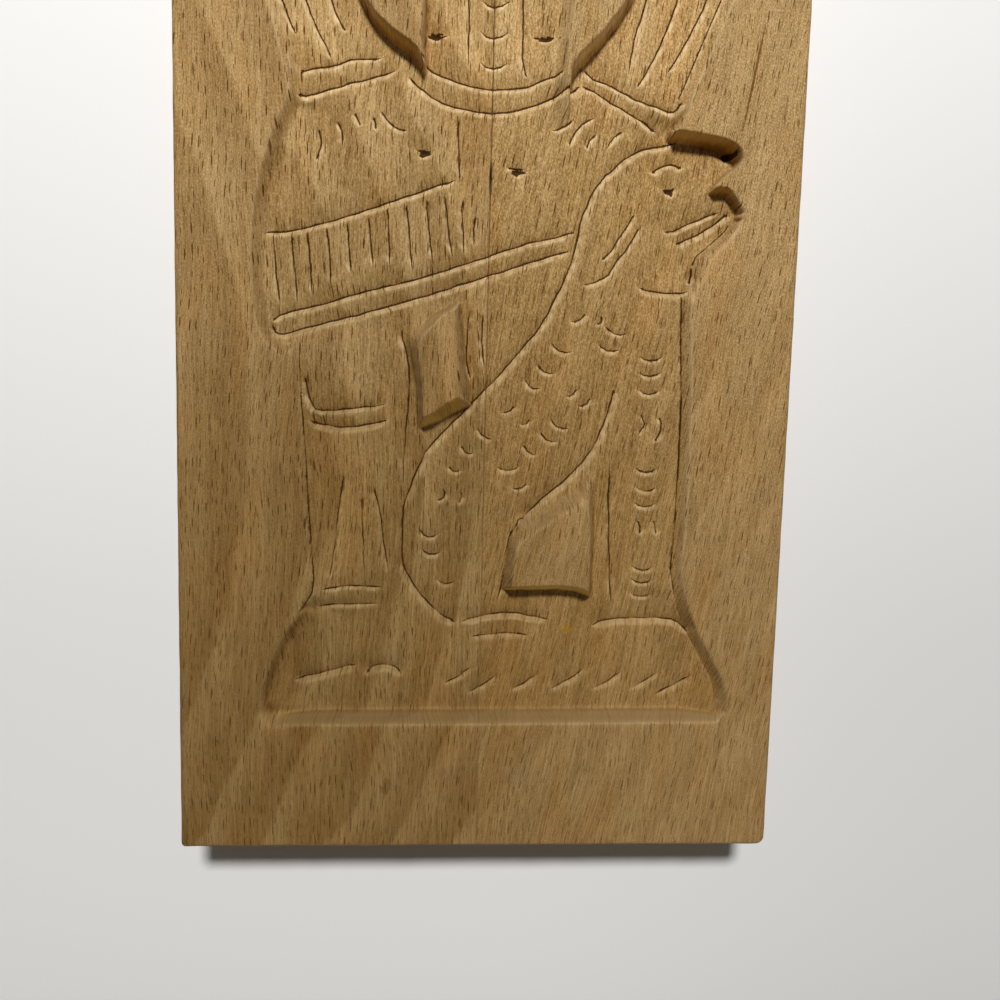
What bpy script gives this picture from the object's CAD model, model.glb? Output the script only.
# Springerle mould: a beech board glued up from two staves, with a standing figure and its dog
# carved into the face. It lies on its back on a pale floor, seen as in the photograph.
import math
from typing import NamedTuple

import bmesh
import bpy
import numpy as np
from mathutils import Matrix, Vector
from mathutils.bvhtree import BVHTree


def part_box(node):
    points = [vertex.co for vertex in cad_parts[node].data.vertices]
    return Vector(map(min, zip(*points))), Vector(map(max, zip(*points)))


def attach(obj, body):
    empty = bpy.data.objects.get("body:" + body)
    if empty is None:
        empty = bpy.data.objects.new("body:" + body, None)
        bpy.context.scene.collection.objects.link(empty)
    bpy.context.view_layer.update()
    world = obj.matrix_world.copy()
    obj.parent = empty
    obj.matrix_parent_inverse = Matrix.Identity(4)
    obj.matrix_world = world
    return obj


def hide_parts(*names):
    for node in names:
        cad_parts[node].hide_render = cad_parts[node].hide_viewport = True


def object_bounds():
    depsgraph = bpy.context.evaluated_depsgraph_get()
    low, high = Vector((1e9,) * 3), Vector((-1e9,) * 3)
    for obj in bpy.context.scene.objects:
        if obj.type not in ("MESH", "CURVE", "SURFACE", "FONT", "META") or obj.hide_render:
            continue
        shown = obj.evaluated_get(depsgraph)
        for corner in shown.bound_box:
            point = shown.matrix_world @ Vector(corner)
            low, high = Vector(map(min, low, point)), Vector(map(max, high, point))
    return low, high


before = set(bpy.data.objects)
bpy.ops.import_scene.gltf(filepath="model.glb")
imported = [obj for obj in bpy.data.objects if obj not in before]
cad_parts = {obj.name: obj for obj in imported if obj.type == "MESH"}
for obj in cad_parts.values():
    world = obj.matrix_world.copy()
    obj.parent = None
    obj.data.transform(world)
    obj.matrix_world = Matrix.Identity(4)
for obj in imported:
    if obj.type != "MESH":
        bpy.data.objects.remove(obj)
cad_box = [list(corner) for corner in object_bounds()]
scene = bpy.context.scene
scene.view_settings.view_transform = "Standard"
mm = 0.001

# Camera: close above the lower half of the board and nearly square to it, with a wide lens,
# so that the hat and shoulders lie outside the picture.
lens_data = bpy.data.cameras.new("camera")
lens_data.sensor_fit = "HORIZONTAL"
lens_data.sensor_width = 36
lens_data.lens = 27.04
camera = bpy.data.objects.new("camera", lens_data)
camera.location = Vector((-5.7, -50.5, 167.6)) * mm
camera.rotation_euler = [math.radians(angle) for angle in (-5.06, -3.08, 1.46)]
scene.collection.objects.link(camera)
scene.camera = camera

# Left stave: a planed plank of pale beech that holds one half of the figure. The figure is sunk
# into it with chisels, its lines are cut with a parting tool, and wear has eased the arrises.
# Lengths on the board are in millimetres.
board_low, board_high = Vector(cad_box[0]) / mm, Vector(cad_box[1]) / mm
face_height = board_high.z
carving_depth = 4.4
floor_height = face_height - carving_depth
seam_middle = (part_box("left_stave")[1].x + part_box("right_stave")[0].x) / 2 / mm
glue_half = (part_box("right_stave")[0].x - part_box("left_stave")[1].x) / 2 / mm
crack_middle, crack_half_length, crack_depth, crack_half_width = -1.2, 3.6, 2.5, 0.28
# A face is a fine grid, thinned to this many triangles; the sides and the back add about 17,000
grid_pitch = 0.15
most_triangles = 178000


class Rim(NamedTuple):
    """Rim of a hollow that runs down gently to a raised floor on the left of its course."""
    course: tuple
    # Distances from the course, each with the depth there
    depths: tuple
    # Lower end in y and the length it fades over, then the upper end and its length
    ends: tuple
    # Distance and depth of the cut at the foot of the wall
    foot_cut: tuple = (0, 0)
    softness: float = 0
    # How pale the arris is worn, and how dirty the wall is
    pale: float = 0
    dirt: float = 0


right_bank = ((47.4, -96), (45.6, -92.7), (43.6, -89.4), (41.7, -84.9), (40.5, -80.6), (39.8, -77),
              (40.2, -69), (40.4, -57))
left_leg_rim = Rim(
    course=((-37.4, -27), (-37.2, -35), (-36.6, -45), (-35.8, -54.5), (-35.2, -64), (-34.6, -72),
            (-34, -80), (-34.4, -82.8), (-36.5, -86.1), (-39.2, -90.3)),
    depths=((0, 0.8), (3, 1.4), (13, carving_depth)),
    ends=(-90, 7, -25, 16), foot_cut=(0.15, 0.42), softness=1)
hip_rim = Rim(
    course=((-38.9, 12), (-41.2, 6.9), (-43, 2.5), (-44.3, -2.5), (-45.2, -7.6), (-45.8, -13),
            (-46, -18.5), (-45.7, -24), (-45.5, -27.6), (-44.4, -31.7), (-43.1, -34.2), (-40.9, -35.8)),
    depths=((0, 0), (2, 2.6), (3, 2.9), (10, carving_depth)),
    ends=(-41, 5, 16, 5), foot_cut=(2, 0.12), softness=0.4, dirt=0.36)
chest_rim = Rim(
    course=(*right_bank, (40.4, -43), (39.7, -29), (39.4, -17), (39.4, -8)),
    depths=((0, 0), (1.9, 1.8), (3, 2.1), (13, carving_depth)),
    ends=(-88, 8, -16, 8), foot_cut=(1.9, 0.4), softness=0.4, pale=0.7)
mouth_rim = Rim(
    course=((47.8, -6.6), (45.5, -3)),
    depths=((0, 2.9), (2, 3.1), (5, carving_depth)),
    ends=(-13, 4, 2, 4))
left_sleeve_rim = Rim(
    course=((-45, 40), (-44, 34), (-42.6, 27.9), (-40.9, 20.9), (-39.1, 13.6), (-38.7, 10)),
    depths=((0, 0), (2.9, 1.7), (4, 2.1), (10, carving_depth)),
    ends=(8, 5, 50, 5), softness=0.8, pale=0.4)
right_sleeve_rim = Rim(
    course=((33.8, 5), (36.7, 11.9), (38, 15), (41.7, 24.4), (45, 32.7), (47, 40)),
    depths=((0, 0), (2.5, 1.5), (3.5, 1.9), (10, carving_depth)),
    ends=(9, 5, 50, 5), foot_cut=(2.5, 0.34), softness=0.3, pale=0.6)
coat_rim = Rim(
    course=((12.6, 4), (13.1, 17.3), (13.6, 23.8), (13.9, 30.6), (14.2, 40)),
    depths=((0, 0), (1.8, 2.6), (6, carving_depth)),
    ends=(7, 11, 60, 5), pale=0.2)
mound_left_rim = Rim(
    course=((-36.5, -86.1), (-39.2, -90.3), (-41.6, -94.9), (-43.2, -99.2), (-44.2, -102.2),
            (-44.4, -104.5), (-43.4, -107.8)),
    depths=((0, 0), (1.2, 1.5), (2, 2.1), (3.2, 2.7), (9, carving_depth)),
    ends=(-110, 4, -84, 3), foot_cut=(1.2, 0.08), softness=0.5, dirt=0.42)
mound_foot_rim = Rim(
    course=((-43.4, -107.8), (-42.4, -109.4), (-0.3, -109), (48.2, -108.4), (49.6, -107)),
    depths=((0, 0), (1.4, carving_depth)),
    ends=(-113, 3, -99, 5), softness=0.6, pale=0.3)
mound_right_rim = Rim(
    course=((49.6, -107), (50.3, -104), (50, -101.6), (49, -98.7), *right_bank),
    depths=((0, 0), (1.7, 2.2), (2.8, 2.6), (9, carving_depth)),
    ends=(-112, 9, -68, 9), foot_cut=(1.8, 0.22), softness=0.2, pale=0.25)
gentle_rims = (left_leg_rim, hip_rim, chest_rim, mouth_rim, left_sleeve_rim, right_sleeve_rim, coat_rim,
               mound_left_rim, mound_foot_rim, mound_right_rim)
# Corners of the standing lands where the banks run out softly: place and reach
soft_corners = ((-15.5, -31.5, 3), (7, -69, 3), (12, -63.5, 4), (17, -60.5, 4), (21.8, -58.5, 4),
                (44.5, -9.5, 2.5), (42, -13, 2.5), (40, -17.5, 2.5), (-43, -107.6, 3))
# Nicks where the chisel's tip was driven in: place, half length and half height
chisel_nicks = ((-11.7, 25.6, 1.8, 0.85), (9.5, 25.8, 1.9, 0.6), (-13.7, 3.8, 1.3, 0.85),
                (4.6, 1, 1.4, 0.7), (34.9, -1.5, 1.1, 0.75), (46.2, 5.4, 1.2, 0.8))


def hand_drift(x, y, wave, seed):
    """Smooth wander between about -1 and 1 of a wave length in mm: handwork is never quite even."""
    dice = np.random.default_rng(seed)
    waves = 7
    total = np.zeros_like(x)
    for _ in range(waves):
        turn, phase = dice.uniform(0, 2 * math.pi, 2)
        along = x * math.cos(turn) + y * math.sin(turn)
        total += np.sin(2 * math.pi * along / (wave * dice.uniform(0.7, 1.5)) + phase)
    return 2 * total / waves


def softened(heights, radius):
    """Heights rounded over by a radius in mm, as wear rounds an arris and a gouge a corner."""
    sigma = radius / grid_pitch
    reach = math.ceil(2.6 * sigma)
    weights = np.exp(-0.5 * (np.arange(-reach, reach + 1) / sigma) ** 2)
    weights /= weights.sum()
    for axis in (0, 1):
        margin = [(reach, reach) if axis == k else (0, 0) for k in (0, 1)]
        padded = np.pad(heights, margin, mode="edge")
        count = heights.shape[axis]
        heights = sum(w * np.take(padded, range(k, k + count), axis) for k, w in enumerate(weights))
    return heights


def rolled_up(depths, fade):
    """Depths that fade out up the board behind each cut, where the carver rounds the edge into it."""
    rolled = depths.copy()
    count = rolled.shape[1]
    for row in range(1, len(rolled)):
        below = np.pad(rolled[row - 1], 2)
        for step in (-2, -1, 0, 1, 2):
            keep = math.exp(-grid_pitch * math.hypot(1, step) / fade)
            rolled[row] = np.maximum(rolled[row], keep * below[2 + step:2 + step + count])
    return rolled


def slopes(heights):
    """Slopes of a grid's heights up the board and across it."""
    up = np.gradient(heights, grid_pitch, axis=0)
    return up, np.gradient(heights, grid_pitch, axis=1) if heights.shape[1] > 2 else 0 * up


def sampled_face(node, x, y):
    """Heights in mm of a CAD node's face at the points x, y of a grid in mm."""
    surface = BVHTree.FromObject(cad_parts[node], bpy.context.evaluated_depsgraph_get())
    start, down = 2 * face_height * mm, Vector((0, 0, -1))
    hits = [surface.ray_cast(Vector((a, b, start)), down)[0]
            for a, b in zip(x.ravel() * mm, y.ravel() * mm)]
    return np.array([hit.z / mm for hit in hits]).reshape(x.shape)


def hand_cut_face(node, x, y, edge_gap):
    """Heights in mm of a CAD node's face, its walls swaying a little except near the board's edge."""
    low, high = [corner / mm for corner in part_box(node)]
    inside, sway, wave = 0.01, 0.09, 4
    steady = np.clip((edge_gap - 1) / 3, 0, 1)
    x_read = x + sway * steady * hand_drift(x, y, wave, seed=3)
    y_read = y + sway * steady * hand_drift(x, y, wave, seed=5)
    return sampled_face(node, np.clip(x_read, low.x + inside, high.x - inside),
                        np.clip(y_read, low.y + inside, high.y - inside))


def course_gap(x, y, course):
    """Distance in mm of a grid's points from a course of straight stretches, less than 0 on its right."""
    far_away = 99.0
    gap = np.full(x.shape, far_away)
    for (ax, ay), (bx, by) in zip(course, course[1:]):
        run_x, run_y = bx - ax, by - ay
        share = np.clip(((x - ax) * run_x + (y - ay) * run_y) / (run_x ** 2 + run_y ** 2), 0, 1)
        apart = np.hypot(x - ax - share * run_x, y - ay - share * run_y)
        side = np.where(run_x * (y - ay) < run_y * (x - ax), -1, 1)
        gap = np.where(apart < np.abs(gap), side * apart, gap)
    return gap


def with_rims(x, y, ground, line_depth):
    """Ground and line depths with the gentle rims, and the rims' shares of softness, wear and dirt."""
    overlap, overlap_end, cut_half_width, least_sunk = 1.2, 1.3, 0.35, 0.3
    soft, pale, dirt = np.zeros_like(x), np.zeros_like(x), np.zeros_like(x)
    for rim in gentle_rims:
        gap = course_gap(x, y, rim.course)
        low_end, low_fade, high_end, high_fade = rim.ends
        share = np.clip((y - low_end) / low_fade, 0, 1) * np.clip((high_end - y) / high_fade, 0, 1)
        share = share ** 2 * (3 - 2 * share)
        reach, depth = zip(*rim.depths)
        fall = np.interp(gap, (-overlap_end, -overlap, *reach), (carving_depth, depth[0], *depth))
        ground = np.maximum(ground, floor_height + share * (carving_depth - fall))
        taken_off = np.minimum(ground, face_height - share * fall)
        ground = np.where((gap > 0) & (gap < overlap), taken_off, ground)
        cut_at, cut_depth = rim.foot_cut
        foot_cut = cut_depth * share * np.clip(1 - np.abs(gap - cut_at) / cut_half_width, 0, 1)
        line_depth = np.maximum(line_depth, foot_cut * (ground < face_height - least_sunk))
        soft = np.maximum(soft, rim.softness * share * np.clip(2 - np.abs(gap) / 2, 0, 1))
        pale = np.maximum(pale, rim.pale * share * np.exp(-(gap / 0.55) ** 2))
        dirt = np.maximum(dirt, rim.dirt * share * np.exp(-((gap - 1) / 0.9) ** 2))
    return ground, line_depth, soft, pale, dirt


def nick_share(x, y):
    """Share of depth of the ragged nicks, 1 at the middle of each."""
    ragged = 1 + 0.35 * hand_drift(x, y, wave=1.2, seed=21)
    share = np.zeros_like(x)
    for a, b, half_length, half_height in chisel_nicks:
        share = np.maximum(share, 1 - ragged * np.hypot((x - a) / half_length, (y - b) / half_height))
    return share


def eased_ground(x, y, ground, rim_soft):
    """Ground with eased arrises: a little everywhere, more on soft rims and most at soft corners."""
    sharp, eased, round_off = [softened(ground, radius) for radius in (0.17, 0.5, 0.9)]
    at_corner = sum(np.exp(-((x - a) ** 2 + (y - b) ** 2) / reach ** 2) for a, b, reach in soft_corners)
    at_corner = np.clip(1.6 * at_corner, 0, 1)
    ground = sharp + rim_soft * (eased - sharp)
    return ground + at_corner * (round_off - ground)


def lip_share(x, y, line_depth, sunk):
    """Share of the torn fibre that stands up below each cut line, unevenly."""
    lip = np.zeros_like(x)
    for radius, least, most, weight in ((0.22, 0.12, 0.4, 1), (0.5, 0.05, 0.24, 0.6)):
        rise_y, rise_x = slopes(softened(line_depth, radius))
        rise = np.hypot(rise_x, rise_y) + 1e-6
        below = np.clip(rise_y / rise / 0.35, 0, 1)
        lip = np.maximum(lip, weight * below * np.clip((rise - least) / (most - least), 0, 1))
    uneven = np.clip(0.75 + 0.5 * hand_drift(x, y, wave=2.2, seed=14), 0.2, 1)
    return lip * (sunk * uneven)


def worn_off(x, y, edge_gap, seam_gap):
    """Depth lost to the open crack, to the eased seam and to wear along the board's edge."""
    crack = np.clip(1 - ((y - crack_middle) / crack_half_length) ** 2, 0, 1)
    opening = np.clip(1 - seam_gap / (crack_half_width * crack + 1e-6), 0, 1) * crack
    seam_ease = 0.05 * np.exp(-(seam_gap / 0.15) ** 2) * (edge_gap > 0.8)
    uneven = np.clip(0.7 + 0.4 * hand_drift(x, y, wave=6, seed=31), 0.3, 1.2)
    worn_edge = np.exp(-np.maximum(edge_gap, 0) / 0.22) * uneven
    return crack_depth * opening + seam_ease + 0.15 * worn_edge


def carved_face(node, x, y):
    """Heights in mm of a face as the tools leave it, and its shares of dark cut, torn lip and end cut."""
    edge_gap = np.minimum(np.minimum(x - board_low.x, board_high.x - x), board_high.y - np.abs(y))
    seam_gap = np.abs(x - seam_middle) - glue_half
    upper = np.clip((y + 120) / 130, 0, 1)
    cad = hand_cut_face(node, x, y, edge_gap)
    line_depth = floor_height - np.minimum(cad, floor_height)
    ground = np.maximum(cad, floor_height)
    ground, line_depth, rim_soft, rim_pale, rim_dirt = with_rims(x, y, ground, line_depth)
    nick, nick_depth = nick_share(x, y), 1.2
    line_depth = np.maximum(line_depth, nick_depth * nick)
    ground = eased_ground(x, y, ground, rim_soft)
    sunk = np.clip((face_height - ground) / 0.6, 0, 1)
    lip, lip_height = lip_share(x, y, line_depth, sunk), 0.08
    lines = np.maximum(softened(line_depth, 0.1), 2.4 * rolled_up(softened(line_depth, 0.45), fade=2.2))
    tooling = 0.05 * hand_drift(x, y, wave=9, seed=11) + 0.03 * hand_drift(x, y * 0.4, wave=3.5, seed=12)
    finished = ground + sunk * (tooling - lines + lip_height * lip)
    finished -= worn_off(x, y, edge_gap, seam_gap)
    # Dirt: in the cut lines and nicks, in the corners at the feet of walls and along the seam
    bend = (softened(ground, 0.3) - ground - 0.03) / 0.12
    dark_cut = np.clip((line_depth - softened(line_depth, 0.3) - 0.03) / 0.13, 0, 1)
    dark_cut *= np.clip(0.62 + 0.4 * upper + 0.22 * hand_drift(x, y, wave=5, seed=41), 0, 1)
    dark_cut = np.maximum.reduce([dark_cut, np.clip(3 * nick, 0, 1), 0.4 * np.clip(bend, 0, 1), rim_dirt])
    seam_dirt = np.exp(-(seam_gap / 0.16) ** 2) * np.clip((y + 22) / 16, 0, 1)
    patchy = np.clip(0.4 + 0.2 * hand_drift(x, y, wave=6, seed=43), 0, 1)
    dark_cut = np.maximum(dark_cut, patchy * seam_dirt)
    # Walls cut across the grain: above 0 where they face the foot end, below 0 where they face the head
    slope_y, slope_x = slopes(finished)
    slope = np.hypot(slope_x, slope_y) + 1e-6
    inner = edge_gap > 1
    facing = slope_y / slope
    end_cut = inner * np.clip((slope - 0.7) / 1.2, 0, 1) * np.clip((np.abs(facing) - 0.55) / 0.4, 0, 1)
    end_cut *= np.sign(facing)
    # Pale wood: on the torn lips, the banks, the walls along the grain and the worn arrises
    bank = np.clip((-slope_y - 0.4 * slope_x - 0.25) / 0.4, 0, 1) * sunk
    side_wall = inner * np.clip((np.abs(slope_x) - 0.8) / 1.5, 0, 1) * (1 - np.abs(end_cut))
    worn_arris = np.clip((ground - softened(ground, 0.3)) / 0.12, 0, 1) * (edge_gap > 1.5)
    torn_lip = np.maximum.reduce([lip, 0.2 * bank, 0.25 * side_wall, 0.6 * worn_arris, rim_pale])
    torn_lip *= 0.4 + 0.6 * upper
    torn_lip *= 1 - np.maximum(end_cut, 0)
    carved = np.clip((face_height - ground - 0.06) / 0.1, 0, 1)
    marks = {"dark_cut": dark_cut, "torn_lip": torn_lip, "end_cut": end_cut}
    return finished, {name: share * carved for name, share in marks.items()}


def thin_out(piece, ratio):
    """Keep a share of a piece's triangles, most of them where it isn't flat."""
    thinned = piece.modifiers.new("thinned", "DECIMATE")
    thinned.ratio = ratio
    ready = piece.evaluated_get(bpy.context.evaluated_depsgraph_get())
    piece.data = bpy.data.meshes.new_from_object(ready)
    piece.modifiers.clear()


def close_sides(shape, low, high):
    """Give a face its sides and back, by rings down from its rim that round the arrises of the back."""
    rim = [edge for edge in shape.edges if edge.is_boundary]
    middle = (low + high) / 2
    reach_x, reach_y = (high.x - low.x) / 2, (high.y - low.y) / 2
    first_drop = 0.15
    # Each ring's height above the back, and how far it is drawn in
    for drop_to, turn_in in ((None, 0), (0.8, 0), (0.6, 0), (0.25, 0.1), (0.08, 0.3), (0, 0.6)):
        grown = bmesh.ops.extrude_edge_only(shape, edges=rim)["geom"]
        rim = [part for part in grown if isinstance(part, bmesh.types.BMEdge) and part.is_boundary]
        for vert in {vert for edge in rim for vert in edge.verts}:
            vert.co.z = vert.co.z - first_drop * mm if drop_to is None else drop_to * mm
            past_x = abs(vert.co.x - middle.x) - (reach_x - turn_in * mm)
            past_y = abs(vert.co.y - middle.y) - (reach_y - turn_in * mm)
            at_seam = abs(vert.co.x / mm - seam_middle) < 1
            if past_x > 0 and not at_seam:
                vert.co.x -= math.copysign(past_x, vert.co.x - middle.x)
            if past_y > 0:
                vert.co.y -= math.copysign(past_y, vert.co.y - middle.y)
    bmesh.ops.edgeloop_fill(shape, edges=rim)


def round_corners(shape, low, high):
    """Hold a shape inside its CAD box and round the board's upright corners, the right foot one most."""
    for vert in shape.verts:
        vert.co = [min(max(value, least), most) for value, least, most in zip(vert.co, low, high)]
        radius = (1.6 if vert.co.x > 0 > vert.co.y else 0.9) * mm
        past_x = abs(vert.co.x) - (board_high.x * mm - radius)
        past_y = abs(vert.co.y) - (board_high.y * mm - radius)
        if past_x > 0 and past_y > 0:
            pull = 1 - max(past_x, past_y) / math.hypot(past_x, past_y)
            vert.co.x -= math.copysign(past_x * pull, vert.co.x)
            vert.co.y -= math.copysign(past_y * pull, vert.co.y)


def carved_piece(node, recess=0):
    """Piece over a CAD node: a fine grid laid on the carved face, with plain sides and back."""
    low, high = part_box(node)
    columns = max(1, round((high.x - low.x) / mm / grid_pitch))
    rows = round((high.y - low.y) / mm / grid_pitch)
    shape = bmesh.new()
    spread = Matrix.Diagonal((high.x - low.x, high.y - low.y, 1, 1))
    bmesh.ops.create_grid(shape, x_segments=columns, y_segments=rows, size=0.5,
                          matrix=Matrix.Translation((low + high) / 2) @ spread)
    places = np.array([vert.co[:] for vert in shape.verts]).reshape(rows + 1, columns + 1, 3) / mm
    heights, marks = carved_face(node, places[..., 0], places[..., 1])
    for vert, height in zip(shape.verts, heights.ravel()):
        vert.co.z = (height - recess) * mm
    piece = bpy.data.objects.new("carved_" + node, bpy.data.meshes.new("carved_" + node))
    scene.collection.objects.link(piece)
    shape.to_mesh(piece.data)
    shape.free()
    triangles = 2 * columns * rows
    if triangles > most_triangles:
        thin_out(piece, most_triangles / triangles)
    shape = bmesh.new()
    shape.from_mesh(piece.data)
    close_sides(shape, low, high)
    round_corners(shape, low, high)
    bmesh.ops.recalc_face_normals(shape, faces=shape.faces)
    shape.to_mesh(piece.data)
    shape.free()
    mesh = piece.data
    mesh.polygons.foreach_set("use_smooth", [True] * len(mesh.polygons))
    # The marks go from the grid to the nearest points of the mesh, on the face and its hollows only
    spots = np.empty(3 * len(mesh.vertices))
    mesh.vertices.foreach_get("co", spots)
    spots = spots.reshape(-1, 3)
    column = np.rint((spots[:, 0] - low.x) / (high.x - low.x) * columns)
    row = np.rint((spots[:, 1] - low.y) / (high.y - low.y) * rows)
    nearest = np.clip(row, 0, rows).astype(int), np.clip(column, 0, columns).astype(int)
    on_face = spots[:, 2] > (floor_height - 3) * mm
    for name, share in marks.items():
        mesh.attributes.new(name, "FLOAT", "POINT").data.foreach_set("value", share[nearest] * on_face)
    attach(piece, "root")
    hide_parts(node)
    return piece


def add(tree, kind, links=None, **settings):
    """New shader node with its settings; links gives each input a value or another node's output."""
    made = tree.nodes.new(kind)
    for name, value in settings.items():
        setattr(made, name, value)
    for socket, value in (links or {}).items():
        if isinstance(value, bpy.types.NodeSocket):
            tree.links.new(value, made.inputs[socket])
        else:
            made.inputs[socket].default_value = value
    return made


def reckon(tree, operation, *terms):
    """Output of a math node."""
    return add(tree, "ShaderNodeMath", dict(enumerate(terms)), operation=operation).outputs[0]


def ranged(tree, value, low, high, to_low=0, to_high=1):
    """Value eased from one range into another and held within it."""
    links = {"Value": value, "From Min": low, "From Max": high, "To Min": to_low, "To Max": to_high}
    return add(tree, "ShaderNodeMapRange", links, interpolation_type="SMOOTHSTEP").outputs["Result"]


def blended(tree, share, first, second, blend="MIX"):
    """Colour mixed from two colours by a share."""
    mix = add(tree, "ShaderNodeMix", data_type="RGBA", blend_type=blend)
    for socket, value in ((mix.inputs[0], share), (mix.inputs[6], first), (mix.inputs[7], second)):
        if isinstance(value, bpy.types.NodeSocket):
            tree.links.new(value, socket)
        else:
            socket.default_value = value
    return mix.outputs[2]


# Beech: fibres along the board, short dark ray flecks, bowed growth bands, and end grain on the ends
beech = bpy.data.node_groups.new("carved_beech", "ShaderNodeTree")
beech_inputs = {
    "NodeSocketVector": ("Place",),
    "NodeSocketFloat": ("Lean", "Bow", "Bow middle", "Shift", "Fleck share", "Grit", "Band",
                        "Dark cut", "Torn lip", "End cut"),
    "NodeSocketColor": ("Pale", "Deep", "Fleck", "Sunk tint")}
for kind, names in beech_inputs.items():
    for name in names:
        beech.interface.new_socket(name, in_out="INPUT", socket_type=kind)
beech.interface.new_socket("Colour", in_out="OUTPUT", socket_type="NodeSocketColor")
beech.interface.new_socket("Relief", in_out="OUTPUT", socket_type="NodeSocketFloat")
beech.interface.new_socket("Gloss", in_out="OUTPUT", socket_type="NodeSocketFloat")
given = add(beech, "NodeGroupInput").outputs
place = add(beech, "ShaderNodeSeparateXYZ", {"Vector": given["Place"]}).outputs


def noise(across, along, size, detail=2, seed=0):
    """Noise between 0 and 1; size is that of its grain in mm, across and along."""
    level = reckon(beech, "MULTIPLY_ADD", place["Z"], 0.1, reckon(beech, "ADD", given["Shift"], seed))
    spot = add(beech, "ShaderNodeCombineXYZ", {
        "X": reckon(beech, "DIVIDE", across, size[0]), "Y": reckon(beech, "DIVIDE", along, size[1]),
        "Z": level}).outputs["Vector"]
    return add(beech, "ShaderNodeTexNoise", {"Vector": spot, "Scale": 1.0, "Detail": detail}).outputs["Fac"]


# Where on the board: the depth below the face, the long sides, and the ends with their round corners
depth = reckon(beech, "SUBTRACT", face_height, place["Z"])
off_end = reckon(beech, "SUBTRACT", board_high.y, reckon(beech, "ABSOLUTE", place["Y"]))
off_side = reckon(beech, "SUBTRACT", board_high.x, reckon(beech, "ABSOLUTE", place["X"]))
on_side = ranged(beech, off_side, 0.15, 0.05)
below_face = reckon(beech, "MULTIPLY", ranged(beech, depth, 0.15, 0.35), ranged(beech, place["Z"], 0, 0.3))
corner = reckon(beech, "MULTIPLY", ranged(beech, off_end, 1.75, 1.65),
                reckon(beech, "SUBTRACT", 1.0, on_side))
on_end = reckon(beech, "MAXIMUM", ranged(beech, off_end, 0.15, 0.05),
                reckon(beech, "MULTIPLY", corner, below_face))
in_face = ranged(beech, place["Z"], floor_height - 4, floor_height - 2)
upper = ranged(beech, place["Y"], -120, 10)
# The pattern runs on over the arris: on the long sides the depth counts as distance across the board
over_arris = reckon(beech, "SUBTRACT", place["X"], reckon(beech, "MULTIPLY", depth, on_side))
lean = reckon(beech, "MULTIPLY", place["Y"], given["Lean"])
straight = reckon(beech, "SUBTRACT", over_arris, lean)
wander = reckon(beech, "SUBTRACT", noise(straight, place["Y"], (14, 45), detail=1, seed=3), 0.5)
across = reckon(beech, "MULTIPLY_ADD", wander, 6.0, straight)
along = place["Y"]


def flecks(width, length, least, most, seed):
    """Share of dark fleck: lens-shaped dashes along the grain, each of its own size and strength."""
    spot = add(beech, "ShaderNodeCombineXYZ", {
        "X": reckon(beech, "DIVIDE", across, width),
        "Y": reckon(beech, "DIVIDE", along, length)}).outputs["Vector"]
    shift = (seed, 2.3 * seed, 0)
    moved = add(beech, "ShaderNodeVectorMath", {0: spot, 1: shift}, operation="ADD").outputs[0]
    cells = add(beech, "ShaderNodeTexVoronoi", {"Vector": moved, "Scale": 1.0},
                voronoi_dimensions="2D").outputs
    own = add(beech, "ShaderNodeSeparateColor", {"Color": cells["Color"]}).outputs
    size = ranged(beech, own["Red"], 0, 1, least, most)
    apart = add(beech, "ShaderNodeVectorMath", {0: moved, 1: cells["Position"]},
                operation="SUBTRACT").outputs[0]
    slender = (2.8, 1, 0)
    drawn_out = add(beech, "ShaderNodeVectorMath", {0: apart, 1: slender}, operation="MULTIPLY").outputs[0]
    gap = add(beech, "ShaderNodeVectorMath", {0: drawn_out}, operation="LENGTH").outputs["Value"]
    dash = ranged(beech, gap, size, reckon(beech, "MULTIPLY", size, 0.55))
    return reckon(beech, "MULTIPLY", dash, ranged(beech, own["Green"], 0.05, 0.65, 0.25, 1))


def tinted(colour, light):
    """Colour made lighter or darker by a factor, and richer where it is darker."""
    factor = add(beech, "ShaderNodeCombineColor", {
        "Red": light, "Green": reckon(beech, "POWER", light, 1.15),
        "Blue": reckon(beech, "POWER", light, 1.6)}).outputs["Color"]
    return blended(beech, 1.0, colour, factor, "MULTIPLY")


fine_fibre = noise(across, along, (0.14, 4), detail=3, seed=11)
middle_fibre = noise(across, along, (0.32, 8), seed=13)
broad_fibre = noise(across, along, (0.9, 26), seed=17)
pore_lines = ranged(beech, noise(across, along, (0.2, 9), detail=1, seed=29), 0.62, 0.8)
clouds = noise(across, along, (7, 22), seed=23)
grit = noise(over_arris, place["Y"], (0.22, 0.42), seed=31)
# Growth bands: pale early wood that deepens slowly and ends at a sharp edge
band_width = 13.0
from_bow = reckon(beech, "SUBTRACT", place["Y"], given["Bow middle"])
bowed = reckon(beech, "MULTIPLY_ADD", reckon(beech, "MULTIPLY", from_bow, from_bow), given["Bow"], across)
layered = reckon(beech, "MULTIPLY_ADD", place["Z"], 1.5, bowed)
ring = reckon(beech, "MULTIPLY_ADD", clouds, 0.35, reckon(beech, "DIVIDE", layered, band_width))
ring = reckon(beech, "FRACT", ring)
band = reckon(beech, "MINIMUM", ranged(beech, ring, 0, 0.8), ranged(beech, ring, 1, 0.9))
cloudy = reckon(beech, "MULTIPLY", ranged(beech, clouds, 0.3, 0.7), 0.25)
tone = reckon(beech, "MULTIPLY_ADD", band, given["Band"], cloudy)
body = blended(beech, tone, given["Pale"], given["Deep"])
blush = ranged(beech, noise(across, along, (9, 30), seed=41), 0.45, 0.7, 0, 0.8)
blush_tint = (1.04, 0.95, 0.84, 1)
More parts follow.
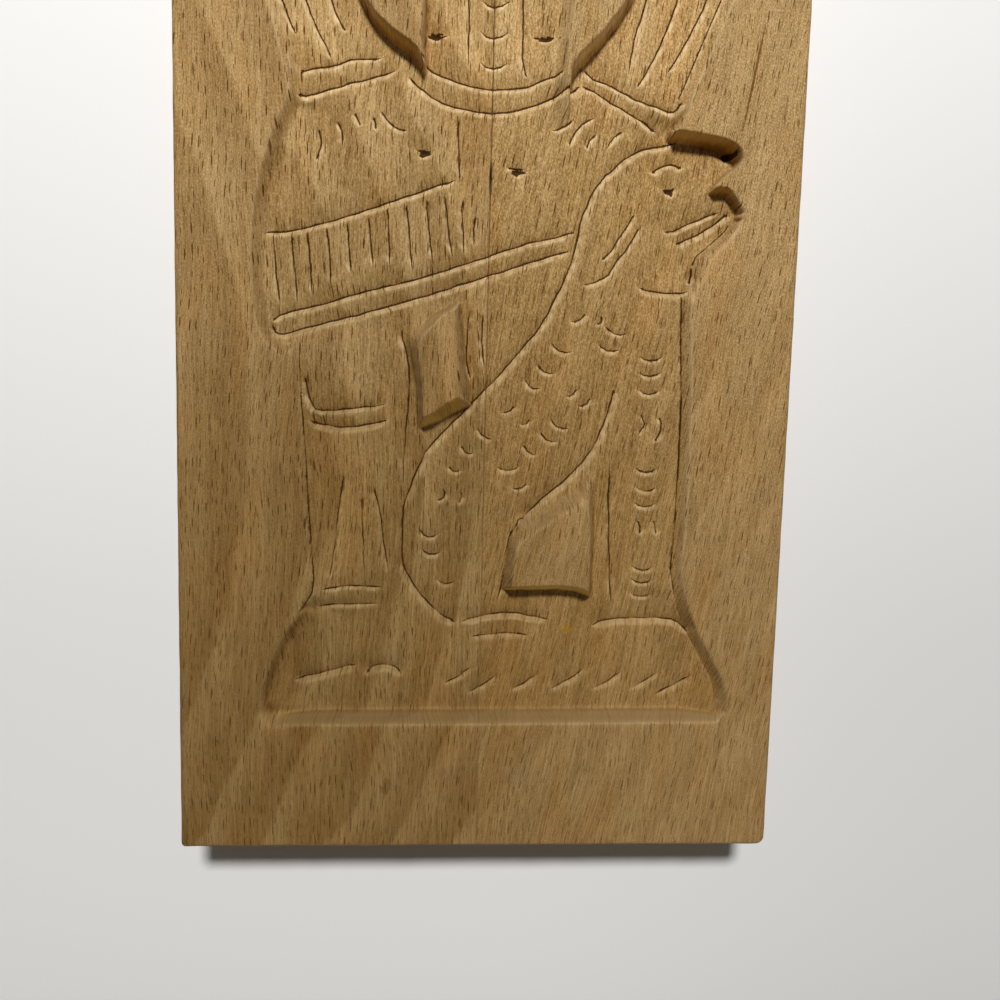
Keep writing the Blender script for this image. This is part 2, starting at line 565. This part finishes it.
body = blended(beech, blush, body, blush_tint, "MULTIPLY")
# Fibres and grit, with dust on the grains that stand up
coarse_streak = reckon(beech, "MULTIPLY_ADD", middle_fibre, 0.35,
                       reckon(beech, "MULTIPLY", broad_fibre, 0.25))
streak = reckon(beech, "MULTIPLY_ADD", fine_fibre, 0.4, coarse_streak)
body = tinted(body, ranged(beech, streak, 0.32, 0.68, 0.72, 1.28))
grit_deep = reckon(beech, "MULTIPLY", given["Grit"], reckon(beech, "MULTIPLY_ADD", upper, 0.16, 0.1))
grit_light = reckon(beech, "MULTIPLY_ADD", ranged(beech, grit, 0.3, 0.7, -1, 1), grit_deep, 1.0)
body = tinted(body, grit_light)
dusty = reckon(beech, "MULTIPLY", ranged(beech, grit, 0.5, 0.75), grit_deep)
dust = (0.66, 0.54, 0.36, 1)
body = blended(beech, dusty, body, dust)
# The hollows are richer in colour than the face, and paler again at the chest
chest_tint, torn_fibre = (1.12, 1.12, 1.1, 1), (0.78, 0.58, 0.32, 1)
sunk = reckon(beech, "MULTIPLY", in_face, ranged(beech, place["Z"], face_height - 0.3, face_height - 1.8))
sunk_tint = blended(beech, ranged(beech, place["Y"], 4, 22), given["Sunk tint"], chest_tint)
body = blended(beech, sunk, body, sunk_tint, "MULTIPLY")
torn = reckon(beech, "MULTIPLY", given["Torn lip"], ranged(beech, fine_fibre, 0.3, 0.65, 0.45, 1))
body = blended(beech, torn, body, torn_fibre)
# Handling: darker towards the foot end and the left, and pale where the foot end's arris is worn
clean, hand_dirt, bared_wood = (1, 1, 1, 1), (0.62, 0.59, 0.51, 1), (0.42, 0.29, 0.14, 1)
handled = reckon(beech, "MULTIPLY", ranged(beech, place["Y"], 20, -70),
                 ranged(beech, place["X"], 50, -30, 0.42, 1))
handled_tint = blended(beech, handled, clean, hand_dirt)
body = blended(beech, 1.0, body, handled_tint, "MULTIPLY")
worn_end = ranged(beech, place["Y"], board_low.y + 0.8, board_low.y + 0.35, 0, 0.6)
body = blended(beech, reckon(beech, "MULTIPLY", worn_end, in_face), body, bared_wood)
# Ray flecks of two sizes and fine pore lines, weaker towards the foot end
large_flecks = flecks(width=1.2, length=4.3, least=0.16, most=0.37, seed=0)
small_flecks = flecks(width=0.8, length=2.7, least=0.15, most=0.37, seed=7.7)
dashes = reckon(beech, "MAXIMUM", large_flecks, reckon(beech, "MULTIPLY", small_flecks, 0.8))
dashes = reckon(beech, "MAXIMUM", dashes, reckon(beech, "MULTIPLY", pore_lines, 0.35))
strength = reckon(beech, "MULTIPLY", given["Fleck share"], reckon(beech, "MULTIPLY_ADD", upper, 0.3, 0.7))
fleck_share = reckon(beech, "MULTIPLY", dashes, strength)
body = blended(beech, fleck_share, body, given["Fleck"], "MULTIPLY")
# Walls cut across the grain: even in tone, richer where they face the foot end, greyer towards the head
foot_cut_tint, hip_cut_tint, coat_cut_tint = (1.95, 2.05, 1.4, 1), (1.15, 1, 0.6, 1), (1.75, 2, 1.9, 1)
head_cut_tint = (0.92, 0.97, 1.1, 1)
plain_wood = blended(beech, 0.4, given["Pale"], given["Deep"])
even_share = reckon(beech, "MULTIPLY", reckon(beech, "ABSOLUTE", given["End cut"]), 0.7)
body = blended(beech, even_share, body, blended(beech, 1.0, plain_wood, handled_tint, "MULTIPLY"))
at_coat = reckon(beech, "MULTIPLY", ranged(beech, place["X"], 0, 12), ranged(beech, place["Y"], 6, 14))
cut_tint = blended(beech, at_coat, hip_cut_tint, coat_cut_tint)
cut_tint = blended(beech, ranged(beech, place["Y"], -35, -10), foot_cut_tint, cut_tint)
to_foot = reckon(beech, "MAXIMUM", given["End cut"], 0.0)
to_head = reckon(beech, "MAXIMUM", reckon(beech, "MULTIPLY", given["End cut"], -1.0), 0.0)
body = blended(beech, to_foot, body, cut_tint, "MULTIPLY")
body = blended(beech, to_head, body, head_cut_tint, "MULTIPLY")
# Cut lines: a black core in a brown fringe
fringe_tint, core_black = (0.58, 0.44, 0.2, 1), (0.026, 0.01, 0.002, 1)
body = blended(beech, ranged(beech, given["Dark cut"], 0.05, 0.7, 0, 0.8), body, fringe_tint, "MULTIPLY")
body = blended(beech, ranged(beech, given["Dark cut"], 0.4, 0.75, 0, 0.92), body, core_black)
# End grain: ring arcs crossed by fine rays, and darker because the open ends take up dirt
heart_off, arc_width = 14.0, 3.4
from_heart = reckon(beech, "ADD", place["X"], heart_off)
arc = reckon(beech, "MULTIPLY_ADD", reckon(beech, "MULTIPLY", from_heart, from_heart), 0.004, place["Z"])
arc = reckon(beech, "MULTIPLY_ADD", noise(place["X"], place["Z"], (9, 6), detail=1, seed=51), 0.5,
             reckon(beech, "DIVIDE", arc, arc_width))
arc = reckon(beech, "FRACT", arc)
speckle = noise(place["X"], place["Z"], (0.25, 0.25), detail=1, seed=57)
arc_light = reckon(beech, "MULTIPLY", ranged(beech, arc, 0.2, 0.95, 0.78, 0.56),
                   ranged(beech, speckle, 0.3, 0.7, 0.85, 1.1))
rays = ranged(beech, noise(place["X"], place["Z"], (0.35, 7), seed=61), 0.3, 0.7, 0.86, 1.12)
end_wood = tinted(plain_wood, reckon(beech, "MULTIPLY", arc_light, rays))
body = blended(beech, on_end, body, blended(beech, 1.0, end_wood, handled_tint, "MULTIPLY"))
raised = reckon(beech, "MULTIPLY_ADD", grit, 0.35, reckon(beech, "MULTIPLY", fine_fibre, 0.5))
relief = reckon(beech, "MULTIPLY", reckon(beech, "SUBTRACT", raised, fleck_share),
                reckon(beech, "SUBTRACT", 1.0, on_end))
gloss = ranged(beech, streak, 0.3, 0.7, 0.62, 0.52)
add(beech, "NodeGroupOutput", {"Colour": body, "Relief": relief, "Gloss": gloss})


def stained(tree, place, colour, middle, reach, tint, strength, lean=0):
    """Colour with a ragged oval stain on the face; middle and reach are in mm, lean is across per along."""
    spot = add(tree, "ShaderNodeSeparateXYZ", {"Vector": place}).outputs
    along = reckon(tree, "SUBTRACT", spot["Y"], middle[1])
    across = reckon(tree, "MULTIPLY_ADD", along, -lean, reckon(tree, "SUBTRACT", spot["X"], middle[0]))
    oval = add(tree, "ShaderNodeCombineXYZ", {
        "X": reckon(tree, "DIVIDE", across, reach[0]),
        "Y": reckon(tree, "DIVIDE", along, reach[1])}).outputs["Vector"]
    apart = add(tree, "ShaderNodeVectorMath", {0: oval}, operation="LENGTH").outputs["Value"]
    ragged = add(tree, "ShaderNodeTexNoise", {"Vector": place, "Scale": 0.9, "Detail": 3.0}).outputs["Fac"]
    inside = ranged(tree, reckon(tree, "ADD", apart, ragged), 1.55, 1.05, 0, strength)
    on_face = ranged(tree, spot["Z"], floor_height - 4, floor_height - 2)
    return blended(tree, reckon(tree, "MULTIPLY", inside, on_face), colour, tint, "MULTIPLY")


def beech_finish(name, grain, colours, stains):
    """Bare planed beech, worn smooth, for one stave; grain gives the lie of its fibres and bands."""
    finish = bpy.data.materials.new(name)
    finish.use_nodes = True
    tree = finish.node_tree
    spot = add(tree, "ShaderNodeTexCoord").outputs["Object"]
    in_mm = add(tree, "ShaderNodeMapping", {"Vector": spot, "Scale": (1000, 1000, 1000)}).outputs[0]
    wood = add(tree, "ShaderNodeGroup", node_tree=beech)
    tree.links.new(in_mm, wood.inputs["Place"])
    for socket, value in (*grain.items(), *colours.items()):
        wood.inputs[socket].default_value = value
    for socket, attribute in (("Dark cut", "dark_cut"), ("Torn lip", "torn_lip"), ("End cut", "end_cut")):
        mark = add(tree, "ShaderNodeAttribute", attribute_name=attribute, attribute_type="GEOMETRY")
        tree.links.new(mark.outputs["Fac"], wood.inputs[socket])
    shader = tree.nodes["Principled BSDF"]
    shader.inputs["Specular IOR Level"].default_value = 0.05
    fine_relief = {"Height": wood.outputs["Relief"], "Strength": 0.6, "Distance": 0.00006}
    bump = add(tree, "ShaderNodeBump", fine_relief)
    colour = wood.outputs["Colour"]
    for stain in stains:
        colour = stained(tree, in_mm, colour, **stain)
    tree.links.new(colour, shader.inputs["Base Color"])
    tree.links.new(wood.outputs["Gloss"], shader.inputs["Roughness"])
    tree.links.new(bump.outputs["Normal"], shader.inputs["Normal"])
    return finish


left_stave = carved_piece("left_stave")
left_grain = {"Lean": 0.02, "Bow": 0.0034, "Bow middle": -55.0, "Shift": 0.0, "Fleck share": 1.0,
              "Grit": 0.7, "Band": 0.75}
fleck_tint = (0.26, 0.16, 0.04, 1)
left_colours = {"Pale": (0.435, 0.28, 0.115, 1), "Deep": (0.31, 0.182, 0.062, 1), "Fleck": fleck_tint,
                "Sunk tint": (1, 1.01, 1, 1)}
dull_tint = (0.93, 0.94, 1.08, 1)
left_stains = (
    dict(middle=(-19.2, -122.3), reach=(1.2, 2.4), tint=(0.5, 0.38, 0.25, 1), strength=0.55, lean=0.1),
    dict(middle=(-6, -119.5), reach=(4.5, 2.2), tint=dull_tint, strength=0.8))
left_stave.data.materials.append(beech_finish("pale_beech", left_grain, left_colours, left_stains))

# Right stave: a second plank of the same beech, a little warmer, its grain leaning to the right as
# it was laid. It is planed straight and glued edge to edge to the first before the carving.
right_stave = carved_piece("right_stave")
right_grain = {"Lean": 0.16, "Bow": 0.0014, "Bow middle": 83.0, "Shift": 40.0, "Fleck share": 0.9,
               "Grit": 1.0, "Band": 0.3}
right_colours = {"Pale": (0.425, 0.272, 0.111, 1), "Deep": (0.305, 0.179, 0.06, 1), "Fleck": fleck_tint,
                 "Sunk tint": (0.97, 0.93, 0.83, 1)}
right_stains = (
    dict(middle=(49.3, 19), reach=(0.32, 12), tint=(0.36, 0.28, 0.13, 1), strength=0.95, lean=0.171),
    dict(middle=(17.3, -90.2), reach=(1.3, 1.2), tint=(1.2, 1.15, 0.3, 1), strength=0.75),
    dict(middle=(7, -120), reach=(4.5, 2), tint=dull_tint, strength=0.8))
right_stave.data.materials.append(beech_finish("warm_beech", right_grain, right_colours, right_stains))

# Glue line: the film of dried hide glue between the two planed edges. It has drawn in a little
# below the face, and the joint has opened a short way at hip height.
glue_line = carved_piece("glue_line", recess=0.08)
glue = bpy.data.materials.new("hide_glue")
glue.use_nodes = True
glue_tree = glue.node_tree
glue_spot = add(glue_tree, "ShaderNodeTexCoord").outputs["Object"]
glue_height = add(glue_tree, "ShaderNodeSeparateXYZ", {"Vector": glue_spot}).outputs["Y"]
patches = {"Vector": glue_spot, "Scale": 180.0, "Detail": 3.0}
glue_patches = add(glue_tree, "ShaderNodeTexNoise", patches).outputs["Fac"]
bare = reckon(glue_tree, "MULTIPLY_ADD", glue_height, -6.0, glue_patches)
dark_glue, worn_glue = (0.09, 0.04, 0.012, 1), (0.28, 0.16, 0.055, 1)
glue_colour = blended(glue_tree, ranged(glue_tree, bare, 0.6, 1.2), dark_glue, worn_glue)
glue_shader = glue_tree.nodes["Principled BSDF"]
glue_tree.links.new(glue_colour, glue_shader.inputs["Base Color"])
glue_tree.links.new(ranged(glue_tree, glue_patches, 0.3, 0.7, 0.35, 0.6), glue_shader.inputs["Roughness"])
glue_line.data.materials.append(glue)

# Floor: a plain pale sheet under the board, which far off, where the lamp fails, is as pale as the room.
floor_mesh = bpy.data.meshes.new("floor")
sheet = bmesh.new()
bmesh.ops.create_grid(sheet, x_segments=1, y_segments=1, size=1.5)
sheet.to_mesh(floor_mesh)
sheet.free()
floor = bpy.data.objects.new("floor", floor_mesh)
scene.collection.objects.link(floor)


def seen_share(tree):
    """Output that is 1 where the eye or a mirror looks, and 0 where light spreads."""
    ray = add(tree, "ShaderNodeLightPath").outputs
    mirrored = reckon(tree, "MAXIMUM", ray["Is Glossy Ray"], ray["Is Transmission Ray"])
    return reckon(tree, "MAXIMUM", ray["Is Camera Ray"], mirrored)


paper = bpy.data.materials.new("pale_paper")
paper.use_nodes = True
sheet_tree = paper.node_tree
paper_spot = add(sheet_tree, "ShaderNodeTexCoord").outputs["Object"]
paper_spot = add(sheet_tree, "ShaderNodeSeparateXYZ", {"Vector": paper_spot}).outputs
paper_tone = reckon(sheet_tree, "MULTIPLY", ranged(sheet_tree, paper_spot["Y"], -0.08, -0.18, 0.88, 1),
                    ranged(sheet_tree, paper_spot["X"], 0, 0.12, 1, 0.92))
from_board = reckon(sheet_tree, "MULTIPLY_ADD", paper_spot["X"], paper_spot["X"],
                    reckon(sheet_tree, "POWER", paper_spot["Y"], 2.0))
far_off = ranged(sheet_tree, reckon(sheet_tree, "SQRT", from_board), 0.3, 0.9)
near_share = reckon(sheet_tree, "MULTIPLY", paper_tone, reckon(sheet_tree, "SUBTRACT", 1.0, far_off))
no_colour, paper_white, room_white = (0, 0, 0, 1), (1, 0.995, 0.98, 1), (1, 0.98, 0.95, 1)
paper_colour = blended(sheet_tree, near_share, no_colour, paper_white)
far_glow = reckon(sheet_tree, "MULTIPLY", far_off, seen_share(sheet_tree))
paper_shader = sheet_tree.nodes["Principled BSDF"]
paper_shader.inputs["Roughness"].default_value = 0.8
paper_shader.inputs["Emission Color"].default_value = room_white
sheet_tree.links.new(paper_colour, paper_shader.inputs["Base Color"])
sheet_tree.links.new(far_glow, paper_shader.inputs["Emission Strength"])
floor_mesh.materials.append(paper)

# Light: one soft lamp high beyond the figure's head, a weak broad one low at the right foot corner
# that lights the board alone, and a little warm light from the room.
world = bpy.data.worlds.new("room")
world.use_nodes = True
room_tree = world.node_tree
room_light, room_warm = 0.055, (1, 0.87, 0.7, 1)
sky = room_tree.nodes["Background"]
seen = seen_share(room_tree)
room_strength = reckon(room_tree, "MULTIPLY_ADD", seen, 1 - room_light, room_light)
room_tree.links.new(blended(room_tree, seen, room_warm, room_white), sky.inputs["Color"])
room_tree.links.new(room_strength, sky.inputs["Strength"])
scene.world = world

lamp_data = bpy.data.lights.new("lamp", "AREA")
lamp_data.shape = "DISK"
lamp_data.size = 0.12
lamp_data.energy = 7.25
lamp = bpy.data.objects.new("lamp", lamp_data)
lamp.location = (0, 0.38, 0.66)
scene.collection.objects.link(lamp)
fill_data = bpy.data.lights.new("fill", "AREA")
fill_data.shape = "DISK"
fill_data.size = 0.3
fill_data.energy = 0.68
fill_data.color = (1, 0.97, 0.9)
fill = bpy.data.objects.new("fill", fill_data)
fill.location = (0.3, -0.6, 0.22)
fill_aim = Vector((0, -0.05, 0.02))
fill.rotation_euler = (fill_aim - fill.location).to_track_quat("-Z", "Y").to_euler()
scene.collection.objects.link(fill)
board = bpy.data.collections.new("board")
for piece in (left_stave, right_stave, glue_line):
    board.objects.link(piece)
fill.light_linking.receiver_collection = board
